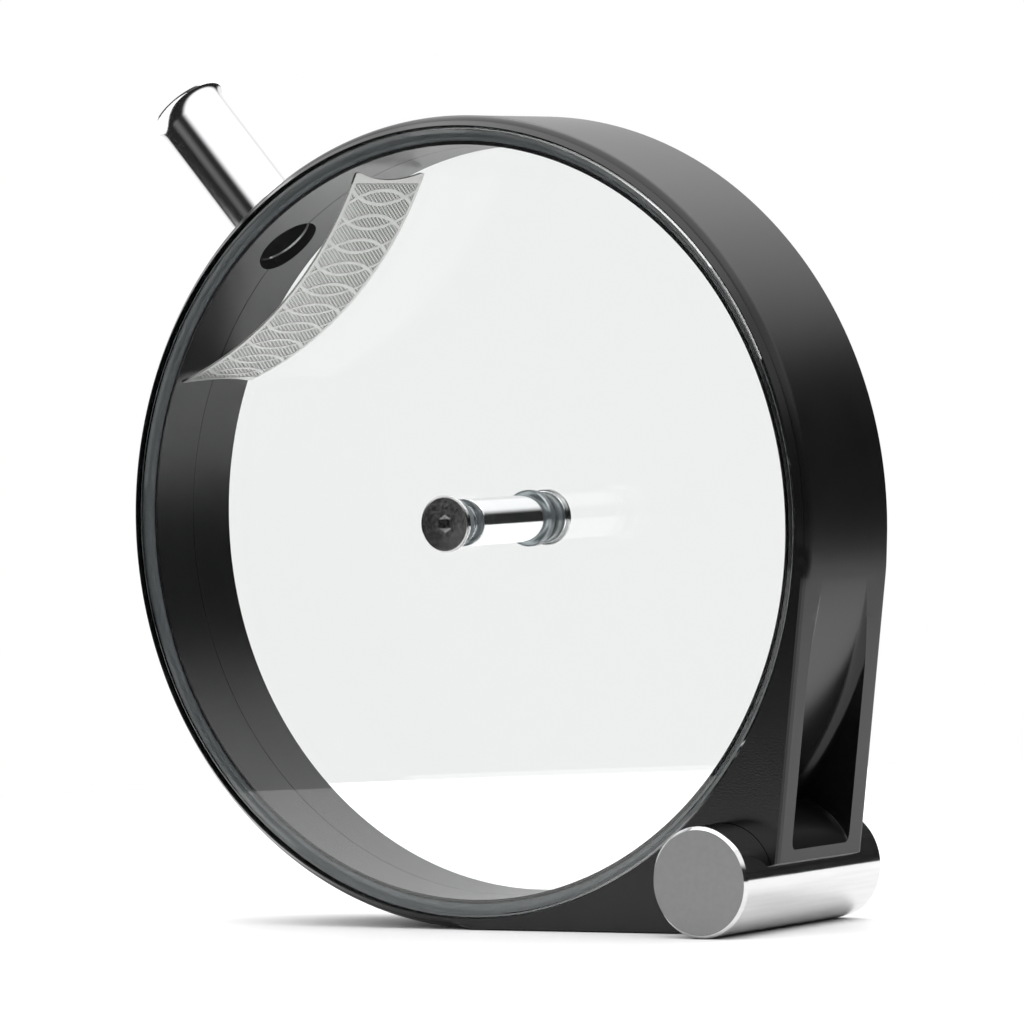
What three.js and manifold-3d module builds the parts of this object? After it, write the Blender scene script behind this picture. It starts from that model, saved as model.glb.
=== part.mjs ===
// A round glass-sided infusion flask that stands on edge.
//
// A moulded ring, its axis along Y, carries a pane of glass on each side. A post in the middle
// clamps the panes: a screw goes through each pane into it. A spout leaves the ring at the upper
// left, behind an arched filter, and opposite the spout a steel bar lies in a socket between two
// cheeks and is the foot. The flask stands on the flat lower edge of the cheeks and on the bar.
//
// Millimetres, +Z up. The origin is under the middle of the ring, on the surface it stands on.
import * as THREE from 'three';
import { mergeVertices } from 'three/addons/utils/BufferGeometryUtils.js';
import Module from 'manifold-3d';

const wasm = await Module();
wasm.setup();

// ---- Driving dimensions ----------------------------------------------------------------------

// Gap left between two pieces that touch on the real object.
const GAP = 0.3;

// Ring moulding.
const RING_RADIUS = 78;
const RING_DEPTH = 30.8;
const RING_WALL = 5.6;
const RIM_WIDTH = 2.1;
const RIM_CHAMFER = 0.8;
// The front rim is eased further, in two flats given as [in from the ring's edge, back from face].
const FRONT_RIM_EASING = [[1.9, 0], [0.95, 1.4], [0, 2.8]];
const SEAL_LIP_WIDTH = 0.6;

// Panes and the seals under them.
const PANE_THICKNESS = 3;
const PANE_PROUD = 0.1;
const PANE_CHAMFER = 1;
const SEAL_THICKNESS = 1.3;

// Foot bar, its socket and the cheeks beside it.
const FOOT_RADIUS = 10.5;
const FOOT_OVERHANG = 9.35;
const FOOT_CHAMFER = 0.6;
const FOOT_STANDOFF = 0.5;
const SOCKET_WALL = 2.3;
const SOCKET_SIDE_WALL = 0.35;
const SOCKET_MOUTH = 127;
const CHEEK_THICKNESS = 5;

// Screws that hold the bar, from the pocket under the ring. Their turn is measured about the bar,
// from the line that runs to the ring's centre.
const FOOT_SCREW_TURN = 69;
const FOOT_SCREW_SPACING = 11;
const FOOT_SCREW_RADIUS = 1.4;
const FOOT_SCREW_LENGTH = 8;
const FOOT_SCREW_HEAD_RADIUS = 2.5;
const FOOT_SCREW_HEAD_HEIGHT = 1.4;
const FOOT_SCREW_HEX = 1.6;
const FOOT_SCREW_HEX_DEPTH = 0.9;

// Spout tube, its flared lip and its O-ring.
const SPOUT_RADIUS = 7;
const SPOUT_WALL = 0.8;
const SPOUT_REACH = 30.9;
const SPOUT_SHOULDER = 1.6;
const SPOUT_STEP = 0.5;
const LIP_FLARE = 1.15;
const LIP_LENGTH = 3.2;
const O_RING_SECTION = 0.55;

// Filter strip behind the spout. It arches from the ring's wall towards the middle.
const FILTER_OFFSET = 1.5;
const FILTER_HALF_ANGLE = 24.4;
const FILTER_STANDOFF = 13;
const FILTER_SHEET = 0.4;
const FILTER_END_GAP = 0.5;
const FILTER_SIDE_GAP = 0.8;

// Post and the stack of gasket, washer and screw head at each of its ends.
const POST_RADIUS = 4.55;
const POST_CHAMFER = 0.2;
const FRONT_POST_GASKET = 0.9;
const REAR_POST_GASKET = 1.5;
const REAR_GASKET_RADIUS = 5.5;
const GROMMET_FLANGE = 1.6;
const GROMMET_WALL = 0.7;
const WASHER_THICKNESS = 0.4;
const WASHER_RADIUS = 5.1;
const HEAD_RADIUS = 5.5;
const HEAD_HEIGHT = 0.8;
const HEAD_CHAMFER = 0.3;
const SHANK_RADIUS = 2.5;
const SHANK_LENGTH = 13;
const HEX_ACROSS_FLATS = 3;
const HEX_DEPTH = 2;

// Stopper in the spout's mouth.
const STOPPER_RECESS = 3.6;
const STOPPER_LENGTH = 9;
const STOPPER_TAPER = 0.7;
const STEM_RADIUS = 1.3;
const STEM_DEPTH = 5;
const KNOB_RADIUS = 2.6;
const KNOB_PROUD = 1.3;

// Facets round large, middling and small circles.
const RING_FACETS = 72;
const TUBE_FACETS = 32;
const SMALL_FACETS = 20;

// ---- Sizes that follow from them -------------------------------------------------------------

const radians = (degrees) => degrees * Math.PI / 180;
const polar = (radius, angle) => [radius * Math.cos(angle), radius * Math.sin(angle)];

const FACE_Y = RING_DEPTH / 2;
const BORE_RADIUS = RING_RADIUS - RING_WALL;
const REBATE_RADIUS = RING_RADIUS - RIM_WIDTH;
const PANE_RADIUS = REBATE_RADIUS - GAP;
const PANE_OUTER_Y = FACE_Y + PANE_PROUD;
const PANE_INNER_Y = PANE_OUTER_Y - PANE_THICKNESS;
const SEAL_LIP_RADIUS = BORE_RADIUS + SEAL_LIP_WIDTH;
const SEAL_TOP_Y = PANE_INNER_Y - GAP;
const SEAL_BOTTOM_Y = SEAL_TOP_Y - SEAL_THICKNESS;
const GROOVE_FLOOR_Y = SEAL_BOTTOM_Y - GAP;
const CHEEK_INNER_Y = FACE_Y - CHEEK_THICKNESS;

// The bar lies just outside the ring, and low enough that both touch the same flat surface.
const FOOT_REACH = RING_RADIUS + FOOT_STANDOFF + FOOT_RADIUS;
const FOOT_Z = FOOT_RADIUS - RING_RADIUS;
const FOOT_X = Math.sqrt(FOOT_REACH ** 2 - FOOT_Z ** 2);
const DIAGONAL = Math.atan2(FOOT_Z, FOOT_X);
const FOOT_LENGTH = RING_DEPTH + 2 * FOOT_OVERHANG;
const SOCKET_RADIUS = FOOT_RADIUS + SOCKET_WALL;

// The cheeks' side edge touches the ring's circle and runs a side wall's width past the bar.
const SIDE_RADIUS = FOOT_RADIUS + SOCKET_SIDE_WALL;
const SIDE_NORMAL = DIAGONAL + Math.acos((RING_RADIUS - SIDE_RADIUS) / FOOT_REACH);

const SPOUT_ANGLE = DIAGONAL + Math.PI;
const FOOT_SCREW_ANGLE = SPOUT_ANGLE + radians(FOOT_SCREW_TURN);
const SPOUT_END = RING_RADIUS + SPOUT_REACH;
const SPOUT_INLET_RADIUS = SPOUT_RADIUS - SPOUT_STEP;
const SHOULDER_S = BORE_RADIUS + SPOUT_SHOULDER;
const SPOUT_BORE = SPOUT_RADIUS - SPOUT_WALL;
const O_RING_RADIUS = SPOUT_RADIUS + GAP + O_RING_SECTION;
const O_RING_S = (SHOULDER_S + RING_RADIUS) / 2;

const SHANK_HOLE_RADIUS = SHANK_RADIUS + GAP;
const GROMMET_NECK_RADIUS = SHANK_HOLE_RADIUS + GROMMET_WALL;
const PANE_HOLE_RADIUS = GROMMET_NECK_RADIUS + GAP;
const GROMMET_TOP_Y = PANE_OUTER_Y + GAP + GROMMET_FLANGE;
const WASHER_BOTTOM_Y = GROMMET_TOP_Y + GAP;
const WASHER_TOP_Y = WASHER_BOTTOM_Y + WASHER_THICKNESS;
const HEAD_BOTTOM_Y = WASHER_TOP_Y + GAP;
const HEAD_TOP_Y = HEAD_BOTTOM_Y + HEAD_HEIGHT;

// ---- Making and joining solids ---------------------------------------------------------------

/** A solid turned about Y from a closed outline of [radius, y] points, anticlockwise. */
function turned(outline, facets) {
  const points = outline.map(([radius, y]) => new THREE.Vector2(radius, y));
  const closed = outline[0][0] > 0;
  if (closed) points.push(points[0].clone());
  return new THREE.LatheGeometry(points, facets);
}

/** A plain disc or bar about Y. */
function disc(radius, low, high, facets) {
  return turned([[0, low], [radius, low], [radius, high], [0, high]], facets);
}

/** A flat ring about Y with a square section. */
function washer(inner, outer, low, high, facets) {
  return turned([[inner, low], [outer, low], [outer, high], [inner, high]], facets);
}

/** A plate with an outline in XZ, from one Y to another. */
function plate(shape, low, high, curveSegments = 12) {
  const settings = { depth: high - low, bevelEnabled: false, curveSegments };
  const geometry = new THREE.ExtrudeGeometry(shape, settings);
  geometry.rotateX(Math.PI / 2);
  return geometry.translate(0, high, 0);
}

/** Turn a shape made about Y so that it points along an angle in XZ. */
function pointAlong(geometry, angle) {
  geometry.rotateX(Math.PI / 2);
  return geometry.rotateY(Math.PI / 2 - angle);
}

/** A closed geometry as a manifold solid. */
function solid(geometry) {
  const bare = new THREE.BufferGeometry();
  bare.setAttribute('position', geometry.getAttribute('position').clone());
  if (geometry.index) bare.setIndex(geometry.index.clone());
  const merged = mergeVertices(bare, 1e-4);
  const corners = merged.index.array;
  const triangles = [];
  for (let i = 0; i < corners.length; i += 3) {
    const [a, b, c] = corners.slice(i, i + 3);
    if (a !== b && b !== c && c !== a) triangles.push(a, b, c);
  }
  const mesh = new wasm.Mesh({
    numProp: 3,
    vertProperties: new Float32Array(merged.getAttribute('position').array),
    triVerts: new Uint32Array(triangles),
  });
  return new wasm.Manifold(mesh);
}

/** A manifold solid as a geometry. */
function toGeometry(manifold) {
  const mesh = manifold.getMesh();
  const geometry = new THREE.BufferGeometry();
  geometry.setAttribute('position', new THREE.BufferAttribute(mesh.vertProperties, 3));
  geometry.setIndex(new THREE.BufferAttribute(mesh.triVerts, 1));
  geometry.computeVertexNormals();
  return geometry;
}

/** A hexagonal prism about Y, for a driver recess. */
function hexPrism(acrossFlats, low, high) {
  return disc(acrossFlats / Math.sqrt(3), low, high, 6);
}

// ---- Ring moulding ---------------------------------------------------------------------------

/** The ring alone: wall, rims, rebates for the panes and grooves for their seals. */
function ringBody() {
  const inside = [
    [REBATE_RADIUS, FACE_Y],
    [REBATE_RADIUS, GROOVE_FLOOR_Y],
    [SEAL_LIP_RADIUS, GROOVE_FLOOR_Y],
    [SEAL_LIP_RADIUS, SEAL_TOP_Y],
    [BORE_RADIUS, SEAL_TOP_Y],
  ];
  const rear = [
    [RING_RADIUS, FACE_Y - RIM_CHAMFER],
    [RING_RADIUS - RIM_CHAMFER, FACE_Y],
    ...inside,
  ];
  const front = [
    ...inside.map(([radius, y]) => [radius, -y]).reverse(),
    ...FRONT_RIM_EASING.map(([inward, back]) => [RING_RADIUS - inward, back - FACE_Y]),
  ];
  return solid(turned([...rear, ...front], RING_FACETS));
}

/** The corner's outline: a straight edge under the ring and the bar, and one beside them. */
function cornerShape() {
  const shape = new THREE.Shape();
  const down = -Math.PI / 2;
  const inside = RING_RADIUS - RIM_WIDTH / 2;
  const [sideX, sideZ] = polar(SIDE_RADIUS, SIDE_NORMAL);
  shape.moveTo(0, -RING_RADIUS);
  shape.lineTo(FOOT_X, FOOT_Z - FOOT_RADIUS);
  shape.lineTo(FOOT_X + sideX, FOOT_Z + sideZ);
  shape.lineTo(...polar(RING_RADIUS, SIDE_NORMAL));
  shape.absarc(0, 0, inside, SIDE_NORMAL, down, true);
  return shape;
}

/** The side of the socket that is left open, where the bar shows. */
function socketMouth() {
  const half = radians(SOCKET_MOUTH / 2);
  const reach = 2 * SOCKET_RADIUS;
  const shape = new THREE.Shape();
  shape.moveTo(FOOT_X, FOOT_Z);
  for (const turn of [-half, -half / 3, half / 3, half]) {
    const [x, z] = polar(reach, DIAGONAL + turn);
    shape.lineTo(FOOT_X + x, FOOT_Z + z);
  }
  return solid(plate(shape, -FACE_Y - 1, FACE_Y + 1));
}

/** Move a geometry from the ring's centre to the bar's. */
const atFoot = (geometry) => geometry.translate(FOOT_X, 0, FOOT_Z);

/** The stepped hole for the spout: seat, groove for its O-ring, shoulder and inlet. */
function spoutHole() {
  const seat = SPOUT_RADIUS + GAP;
  const groove = O_RING_RADIUS + O_RING_SECTION + GAP;
  const half = O_RING_SECTION + GAP;
  const outline = [
    [0, BORE_RADIUS - RING_WALL],
    [SPOUT_INLET_RADIUS, BORE_RADIUS - RING_WALL],
    [SPOUT_INLET_RADIUS, SHOULDER_S],
    [seat, SHOULDER_S],
    [seat, O_RING_S - half],
    [groove, O_RING_S - half],
    [groove, O_RING_S + half],
    [seat, O_RING_S + half],
    [seat, RING_RADIUS + RING_WALL],
    [0, RING_RADIUS + RING_WALL],
  ];
  return solid(pointAlong(turned(outline, TUBE_FACETS), SPOUT_ANGLE));
}

/** The middle of each foot screw, along Y. */
const footScrewPlaces = { front: -FOOT_SCREW_SPACING / 2, rear: FOOT_SCREW_SPACING / 2 };

/** A foot screw, or with a gap round it the hole that it fits. */
function footScrewBody(gap) {
  const top = SOCKET_RADIUS - 2 * GAP;
  const above = gap > 0 ? SOCKET_WALL : 0;
  const outline = [
    [0, top - FOOT_SCREW_LENGTH - gap],
    [FOOT_SCREW_RADIUS + gap, top - FOOT_SCREW_LENGTH - gap],
    [FOOT_SCREW_RADIUS + gap, top - FOOT_SCREW_HEAD_HEIGHT - gap],
    [FOOT_SCREW_HEAD_RADIUS + gap, top - gap],
    [FOOT_SCREW_HEAD_RADIUS + gap, top + above],
    [0, top + above],
  ];
  return turned(gap > 0 ? outline : outline.toSpliced(4, 1), SMALL_FACETS);
}

/** Both foot screw holes, to be cut from the moulding and from the bar. */
function footScrewHoles() {
  const holes = Object.values(footScrewPlaces).map((y) => {
    const hole = pointAlong(footScrewBody(GAP), FOOT_SCREW_ANGLE);
    return solid(atFoot(hole).translate(0, y, 0));
  });
  return holes[0].add(holes[1]);
}

/** The whole moulding. */
function frameGeometry() {
  const corner = cornerShape();
  const socketRound = solid(atFoot(disc(SOCKET_RADIUS, -FACE_Y, FACE_Y, TUBE_FACETS)));
  const socket = socketRound.intersect(solid(plate(corner, -FACE_Y, FACE_Y)));
  const bore = solid(atFoot(disc(FOOT_RADIUS + GAP, -RING_DEPTH, RING_DEPTH, TUBE_FACETS)));
  const moulding = ringBody()
    .add(solid(plate(corner, -FACE_Y, -CHEEK_INNER_Y)))
    .add(solid(plate(corner, CHEEK_INNER_Y, FACE_Y)))
    .add(socket)
    .subtract(bore)
    .subtract(socketMouth())
    .subtract(spoutHole())
    .subtract(footScrewHoles());
  return toGeometry(moulding);
}

// ---- Glass and seals -------------------------------------------------------------------------

function paneGeometry() {
  return turned([
    [PANE_HOLE_RADIUS, PANE_INNER_Y],
    [PANE_RADIUS - PANE_CHAMFER, PANE_INNER_Y],
    [PANE_RADIUS, PANE_INNER_Y + PANE_CHAMFER],
    [PANE_RADIUS, PANE_OUTER_Y - PANE_CHAMFER],
    [PANE_RADIUS - PANE_CHAMFER, PANE_OUTER_Y],
    [PANE_HOLE_RADIUS, PANE_OUTER_Y],
  ], RING_FACETS);
}

function sealGeometry() {
  const inner = SEAL_LIP_RADIUS + GAP;
  const outer = REBATE_RADIUS - GAP;
  return washer(inner, outer, SEAL_BOTTOM_Y, SEAL_TOP_Y, RING_FACETS);
}

// ---- Foot bar --------------------------------------------------------------------------------

function footBarGeometry() {
  const end = FOOT_LENGTH / 2;
  const face = FOOT_RADIUS - FOOT_CHAMFER;
  const bar = atFoot(turned([
    [0, -end],
    [face, -end],
    [FOOT_RADIUS, FOOT_CHAMFER - end],
    [FOOT_RADIUS, end - FOOT_CHAMFER],
    [face, end],
    [0, end],
  ], TUBE_FACETS));
  return toGeometry(solid(bar).subtract(footScrewHoles()));
}

function footScrewGeometry(y) {
  const top = SOCKET_RADIUS - 2 * GAP;
  const recess = hexPrism(FOOT_SCREW_HEX, top - FOOT_SCREW_HEX_DEPTH, top + 1);
  const screw = toGeometry(solid(footScrewBody(0)).subtract(solid(recess)));
  return atFoot(pointAlong(screw, FOOT_SCREW_ANGLE)).translate(0, y, 0);
}

// ---- Spout, filter and stopper ---------------------------------------------------------------

/** Points up the flared lip of a tube of this radius: straight below, opening as it rises. */
function flare(radius) {
  const steps = [0, 1, 2, 3, 4, 5].map((step) => radians(step * 18));
  return steps.map((turn) => [
    radius + LIP_FLARE * (1 - Math.cos(turn)),
    SPOUT_END - LIP_LENGTH * (1 - Math.sin(turn)),
  ]);
}

function spoutTubeGeometry() {
  const root = SHOULDER_S + GAP;
  const outline = [
    [SPOUT_BORE, root],
    [SPOUT_RADIUS, root],
    ...flare(SPOUT_RADIUS),
    ...flare(SPOUT_BORE).reverse(),
  ];
  return pointAlong(turned(outline, TUBE_FACETS), SPOUT_ANGLE);
}

function spoutSealGeometry() {
  const sides = [0, 1, 2, 3, 4, 5, 6, 7].map((side) => radians(side * 45));
  const outline = sides.map((turn) => {
    const [out, up] = polar(O_RING_SECTION, turn);
    return [O_RING_RADIUS + out, O_RING_S + up];
  });
  return pointAlong(turned(outline, TUBE_FACETS), SPOUT_ANGLE);
}

function filterGeometry() {
  const end = BORE_RADIUS - FILTER_END_GAP;
  const [chordAt, halfChord] = polar(end, radians(FILTER_HALF_ANGLE));
  const middle = BORE_RADIUS - FILTER_STANDOFF;
  const rise = chordAt - middle;
  const radius = (halfChord ** 2 + rise ** 2) / (2 * rise);
  const halfTurn = Math.asin(halfChord / radius);
  const centre = middle + radius;
  const outer = radius + FILTER_SHEET / 2;
  const inner = radius - FILTER_SHEET / 2;
  const shape = new THREE.Shape();
  shape.absarc(centre, 0, outer, Math.PI - halfTurn, Math.PI + halfTurn, false);
  shape.absarc(centre, 0, inner, Math.PI + halfTurn, Math.PI - halfTurn, true);
  shape.closePath();
  const halfWidth = PANE_INNER_Y - FILTER_SIDE_GAP;
  const strip = plate(shape, -halfWidth, halfWidth, 28);
  return strip.rotateY(-SPOUT_ANGLE - radians(FILTER_OFFSET));
}

/** Height of the plug's outer face up the spout. */
const PLUG_TOP_S = SPOUT_END - STOPPER_RECESS;

function stopperPlugGeometry() {
  const low = PLUG_TOP_S - STOPPER_LENGTH;
  const wide = SPOUT_BORE - GAP;
  const outline = [
    [0, low],
    [wide - STOPPER_TAPER, low],
    [wide, low + STOPPER_LENGTH / 2],
    [wide, PLUG_TOP_S],
    [STEM_RADIUS + GAP, PLUG_TOP_S],
    [STEM_RADIUS + GAP, PLUG_TOP_S - STEM_DEPTH],
    [0, PLUG_TOP_S - STEM_DEPTH],
  ];
  return pointAlong(turned(outline, SMALL_FACETS), SPOUT_ANGLE);
}

function stopperKnobGeometry() {
  const top = SPOUT_END + KNOB_PROUD;
  const bottom = PLUG_TOP_S + GAP;
  const neck = (bottom + top) / 2;
  const outline = [
    [0, PLUG_TOP_S - STEM_DEPTH + GAP],
    [STEM_RADIUS, PLUG_TOP_S - STEM_DEPTH + GAP],
    [STEM_RADIUS, neck - 0.6],
    [KNOB_RADIUS, neck],
    [KNOB_RADIUS, top - 0.5],
    [KNOB_RADIUS - 0.5, top],
    [0, top],
  ];
  return pointAlong(turned(outline, SMALL_FACETS), SPOUT_ANGLE);
}

// ---- Post, gaskets and screws ----------------------------------------------------------------

function postGeometry() {
  const front = -(PANE_INNER_Y - FRONT_POST_GASKET - 2 * GAP);
  const rear = PANE_INNER_Y - REAR_POST_GASKET - 2 * GAP;
  const edge = POST_RADIUS - POST_CHAMFER;
  return turned([
    [SHANK_HOLE_RADIUS, front],
    [edge, front],
    [POST_RADIUS, front + POST_CHAMFER],
    [POST_RADIUS, rear - POST_CHAMFER],
    [edge, rear],
    [SHANK_HOLE_RADIUS, rear],
  ], SMALL_FACETS);
}

function postGasketGeometry(radius, thickness) {
  const top = PANE_INNER_Y - GAP;
  return washer(SHANK_HOLE_RADIUS, radius, top - thickness, top, SMALL_FACETS);
}

function grommetGeometry() {
  return turned([
    [SHANK_HOLE_RADIUS, PANE_INNER_Y],
    [GROMMET_NECK_RADIUS, PANE_INNER_Y],
    [GROMMET_NECK_RADIUS, PANE_OUTER_Y + GAP],
    [POST_RADIUS, PANE_OUTER_Y + GAP],
    [POST_RADIUS, GROMMET_TOP_Y],
    [SHANK_HOLE_RADIUS, GROMMET_TOP_Y],
  ], SMALL_FACETS);
}

function headWasherGeometry() {
  return washer(SHANK_HOLE_RADIUS, WASHER_RADIUS, WASHER_BOTTOM_Y, WASHER_TOP_Y, SMALL_FACETS);
}

function paneScrewGeometry() {
  const body = turned([
    [0, HEAD_BOTTOM_Y - SHANK_LENGTH],
    [SHANK_RADIUS, HEAD_BOTTOM_Y - SHANK_LENGTH],
    [SHANK_RADIUS, HEAD_BOTTOM_Y],
    [HEAD_RADIUS, HEAD_BOTTOM_Y],
    [HEAD_RADIUS, HEAD_TOP_Y - HEAD_CHAMFER],
    [HEAD_RADIUS - HEAD_CHAMFER, HEAD_TOP_Y],
    [0, HEAD_TOP_Y],
  ], SMALL_FACETS);
  const recess = hexPrism(HEX_ACROSS_FLATS, HEAD_TOP_Y - HEX_DEPTH, HEAD_TOP_Y + 1);
  return toGeometry(solid(body).subtract(solid(recess)));
}

// ---- Finishes --------------------------------------------------------------------------------

const FINISHES = {
  blackPlastic: { color: 0x18181a, roughness: 0.55, metalness: 0 },
  glass: { color: 0xe9eeee, roughness: 0.02, metalness: 0, transparent: true, opacity: 0.2 },
  silicone: { color: 0xc6cdd0, roughness: 0.45, metalness: 0, transparent: true, opacity: 0.8 },
  polishedSteel: { color: 0xd6d7d9, roughness: 0.08, metalness: 1 },
  brushedSteel: { color: 0x9a9b9c, roughness: 0.32, metalness: 1 },
  darkSteel: { color: 0x3a3a3c, roughness: 0.25, metalness: 1 },
  perforatedSteel: { color: 0xa9aaab, roughness: 0.4, metalness: 0.8 },
};

/** One named piece with a material of its own. */
function piece(name, geometry, finish) {
  const mesh = new THREE.Mesh(geometry, new THREE.MeshStandardMaterial(FINISHES[finish]));
  mesh.name = name;
  return mesh;
}

// ---- Assembly --------------------------------------------------------------------------------

/** The pieces of one side, made for the rear, and turned round for the front. */
function sidePieces(side) {
  const isFront = side === 'front';
  const gasketThickness = isFront ? FRONT_POST_GASKET : REAR_POST_GASKET;
  const gasketRadius = isFront ? POST_RADIUS : REAR_GASKET_RADIUS;
  const group = new THREE.Group();
  group.rotation.z = isFront ? Math.PI : 0;
  group.add(
    piece(`${side}_pane`, paneGeometry(), 'glass'),
    piece(`${side}_seal`, sealGeometry(), 'silicone'),
    piece(`${side}_post_gasket`, postGasketGeometry(gasketRadius, gasketThickness), 'silicone'),
    piece(`${side}_head_gasket`, grommetGeometry(), 'silicone'),
    piece(`${side}_washer`, headWasherGeometry(), 'polishedSteel'),
    piece(`${side}_screw`, paneScrewGeometry(), 'darkSteel'),
  );
  return group;
}

const flask = new THREE.Group();
flask.position.z = RING_RADIUS;
flask.add(
  piece('frame', frameGeometry(), 'blackPlastic'),
  sidePieces('front'),
  sidePieces('rear'),
  piece('centre_post', postGeometry(), 'polishedSteel'),
  piece('filter', filterGeometry(), 'perforatedSteel'),
  piece('spout_tube', spoutTubeGeometry(), 'polishedSteel'),
  piece('spout_seal', spoutSealGeometry(), 'silicone'),
  piece('stopper_plug', stopperPlugGeometry(), 'silicone'),
  piece('stopper_knob', stopperKnobGeometry(), 'polishedSteel'),
  piece('foot_bar', footBarGeometry(), 'brushedSteel'),
);
for (const [side, y] of Object.entries(footScrewPlaces)) {
  flask.add(piece(`foot_screw_${side}`, footScrewGeometry(y), 'darkSteel'));
}

const model = new THREE.Group();
model.add(flask);

export default model;
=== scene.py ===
"""Looks of a round, glass-sided infusion flask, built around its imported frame."""
import logging
import math
from dataclasses import dataclass
from enum import Enum
from typing import Callable, Sequence

import bpy
from mathutils import Matrix, Vector


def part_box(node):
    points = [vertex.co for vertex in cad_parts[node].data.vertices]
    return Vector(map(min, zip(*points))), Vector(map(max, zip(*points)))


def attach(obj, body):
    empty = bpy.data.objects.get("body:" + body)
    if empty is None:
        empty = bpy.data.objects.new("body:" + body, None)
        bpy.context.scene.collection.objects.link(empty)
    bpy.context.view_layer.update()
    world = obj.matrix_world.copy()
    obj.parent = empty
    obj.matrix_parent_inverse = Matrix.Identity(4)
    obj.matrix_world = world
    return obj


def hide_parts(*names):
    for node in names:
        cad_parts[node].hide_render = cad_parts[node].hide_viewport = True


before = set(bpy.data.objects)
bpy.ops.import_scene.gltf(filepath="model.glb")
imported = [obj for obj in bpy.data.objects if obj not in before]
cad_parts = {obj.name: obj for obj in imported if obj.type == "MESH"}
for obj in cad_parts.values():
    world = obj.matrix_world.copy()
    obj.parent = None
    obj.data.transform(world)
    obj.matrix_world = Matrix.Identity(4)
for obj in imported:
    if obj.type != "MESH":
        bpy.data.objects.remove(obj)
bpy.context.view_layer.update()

MM = 0.001
PLACE_DIGITS = 1
SMOOTH_ANGLE = math.radians(32)
FLAT_ANGLE = math.radians(5)
MERGE = 1e-6
Outline = Sequence[tuple[float, float]]
log = logging.getLogger("flask")


def middle(node: str) -> Vector:
    """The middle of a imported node's box, in millimetres."""
    low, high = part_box(node)
    return Vector([round((a + b) / 2 / MM, PLACE_DIGITS) for a, b in zip(low, high)])


PANE_MIDDLE = middle("rear_pane")
RING_CENTRE = Vector((PANE_MIDDLE.x, 0.0, PANE_MIDDLE.z))
RING_RADIUS = RING_CENTRE.z
CENTRE = RING_CENTRE * MM


class Body(Enum):
    """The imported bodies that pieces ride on."""

    VESSEL = "vessel"
    COVER = "front_cover"
    SEAT = "screw_seat"
    CLAMP = "clamp_screw"
    STOPPER = "stopper"


class Side(Enum):
    """The two glazed sides of the flask: each one's word and its direction along Y."""

    FRONT = ("front", -1.0)
    REAR = ("rear", 1.0)

    @property
    def label(self) -> str:
        """The side's word in node names."""
        return self.value[0]

    @property
    def outward(self) -> float:
        """Which way along Y the side faces."""
        return self.value[1]


@dataclass(frozen=True)
class Axis:
    """A line in millimetres about which pieces are turned."""

    origin: Vector
    along: Vector

    def at(self, height: float) -> Vector:
        """The point in metres at a height in millimetres up the axis."""
        return (self.origin + self.along * height) * MM

    def euler(self) -> tuple[float, float, float]:
        """The turn that takes Z to the axis."""
        return tuple(self.along.to_track_quat("Z", "Y").to_euler())


def side_axis(side: Side) -> Axis:
    """The ring's axis, pointing out of one side."""
    return Axis(RING_CENTRE, Vector((0.0, side.outward, 0.0)))


# ---- Modelling steps -------------------------------------------------------------------------


def adopt(name: str) -> bpy.types.Object:
    """Name the piece just added and put its place into its mesh.

    Args:
        name: The piece's name.

    Returns:
        The active object.
    """
    piece = bpy.context.active_object
    piece.name = name
    piece.data.name = name
    bpy.ops.object.transform_apply(location=True, rotation=True, scale=True)
    return piece


def choose(piece: bpy.types.Object) -> None:
    """Select one piece alone and make it active.

    Args:
        piece: The piece.
    """
    bpy.ops.object.select_all(action="DESELECT")
    piece.select_set(True)
    bpy.context.view_layer.objects.active = piece


def mend(piece: bpy.types.Object) -> None:
    """Merge doubled points and turn every face outwards.

    Args:
        piece: The piece.
    """
    choose(piece)
    bpy.ops.object.mode_set(mode="EDIT")
    bpy.ops.mesh.select_all(action="SELECT")
    bpy.ops.mesh.remove_doubles(threshold=MERGE)
    bpy.ops.mesh.normals_make_consistent(inside=False)
    bpy.ops.object.mode_set(mode="OBJECT")


def smooth(piece: bpy.types.Object, angle: float) -> None:
    """Shade a finished piece smooth, with its sharp edges and flat faces kept.

    Args:
        piece: The piece.
        angle: Edges sharper than this stay sharp.
    """
    choose(piece)
    bpy.ops.object.shade_smooth_by_angle(angle=angle)
    apply_modifier(piece, "WEIGHTED_NORMAL", keep_sharp=True, weight=100)


def turned(name: str, axis: Axis, outline: Outline, segments: int = 96,
           ring: bool = False) -> bpy.types.Object:
    """Turn an outline about an axis.

    Args:
        name: The piece's name.
        axis: The line it is turned about.
        outline: Points of radius and height, in millimetres.
        segments: Sides of each circle.
        ring: Whether the outline closes on itself and leaves a hole.

    Returns:
        The piece.
    """
    radius, height = outline[0]
    bpy.ops.object.select_all(action="DESELECT")
    bpy.ops.mesh.primitive_circle_add(
        vertices=segments, radius=radius * MM, fill_type="NOTHING" if ring else "NGON",
        location=axis.at(height), rotation=axis.euler())
    piece = adopt(name)
    bpy.ops.object.mode_set(mode="EDIT")
    bpy.ops.mesh.select_all(action="SELECT")
    stations = list(outline[1:]) + ([outline[0]] if ring else [])
    for next_radius, next_height in stations:
        step = tuple(axis.along * (next_height - height) * MM)
        if ring:
            bpy.ops.mesh.extrude_edges_move(TRANSFORM_OT_translate={"value": step})
        else:
            bpy.ops.mesh.extrude_region_move(TRANSFORM_OT_translate={"value": step})
        if next_radius != radius:
            factor = next_radius / radius
            bpy.ops.transform.resize(value=(factor,) * 3, center_override=axis.at(next_height))
        radius, height = next_radius, next_height
    bpy.ops.object.mode_set(mode="OBJECT")
    mend(piece)
    return piece


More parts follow.
